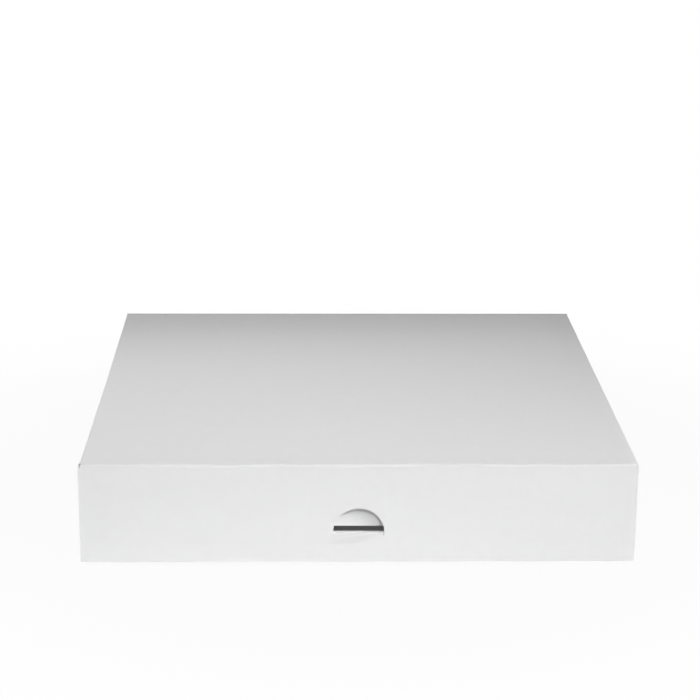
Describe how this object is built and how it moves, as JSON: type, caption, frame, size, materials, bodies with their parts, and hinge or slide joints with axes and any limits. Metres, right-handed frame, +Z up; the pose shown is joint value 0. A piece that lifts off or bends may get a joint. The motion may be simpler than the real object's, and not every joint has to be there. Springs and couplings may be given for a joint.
{
  "type": "lunch tray box",
  "caption": "Shallow white board carton folded from one blank: tray with rolled side walls, hinged lid, outside front flap with a half-moon push-in lock.",
  "frame": {"origin": "middle of the underside, where the closed box rests on the table", "axes": "+X to the right seen from the front, the front flap faces -Y, +Z up"},
  "size_m": [0.31, 0.3106, 0.0585],
  "materials": {
    "white_board": "uncoated matte white liner"
  },
  "bodies": {
    "tray": {"base_tray": "white_board"},
    "lid": {"lid": "white_board"}
  },
  "joints": [
    {"name": "lid_hinge", "type": "hinge", "parent": "tray", "child": "lid", "pos_m": [0, 0.1553, 0.0585], "axis": [-1, 0, 0], "range_deg": [0, 180]}
  ]
}
